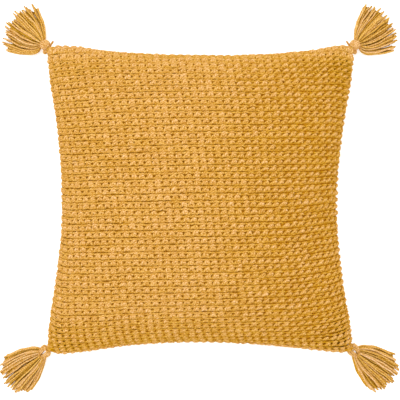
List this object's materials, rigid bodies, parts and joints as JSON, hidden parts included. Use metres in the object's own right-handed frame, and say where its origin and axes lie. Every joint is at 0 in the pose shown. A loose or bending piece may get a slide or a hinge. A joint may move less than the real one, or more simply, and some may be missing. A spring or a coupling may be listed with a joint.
{
  "type": "tasseled throw pillow",
  "caption": "Square crocheted throw cushion in mustard yellow yarn, filled to a soft crown, with drawn-in sides and a fanned yarn tassel tied to each corner",
  "frame": {"origin": "the middle of the box that holds the part, on the surface that the cushion rests on", "axes": "+Z out of the face that shows, +Y towards the top edge, +X towards the right edge"},
  "size_m": [0.5816, 0.5694, 0.1193],
  "materials": {
    "cover": "matte worked yarn",
    "tassel": "matte plied yarn",
    "tie": "matte plied yarn"
  },
  "bodies": {
    "root": {"cushion_body": "cover", "tassel_top_left": "tassel", "tassel_top_right": "tassel", "tassel_bottom_left": "tassel", "tassel_bottom_right": "tassel", "tassel_binding_top_left": "tie", "tassel_binding_top_right": "tie", "tassel_binding_bottom_left": "tie", "tassel_binding_bottom_right": "tie", "tassel_tie_top_left": "tie", "tassel_tie_top_right": "tie", "tassel_tie_bottom_left": "tie", "tassel_tie_bottom_right": "tie"}
  },
  "joints": []
}
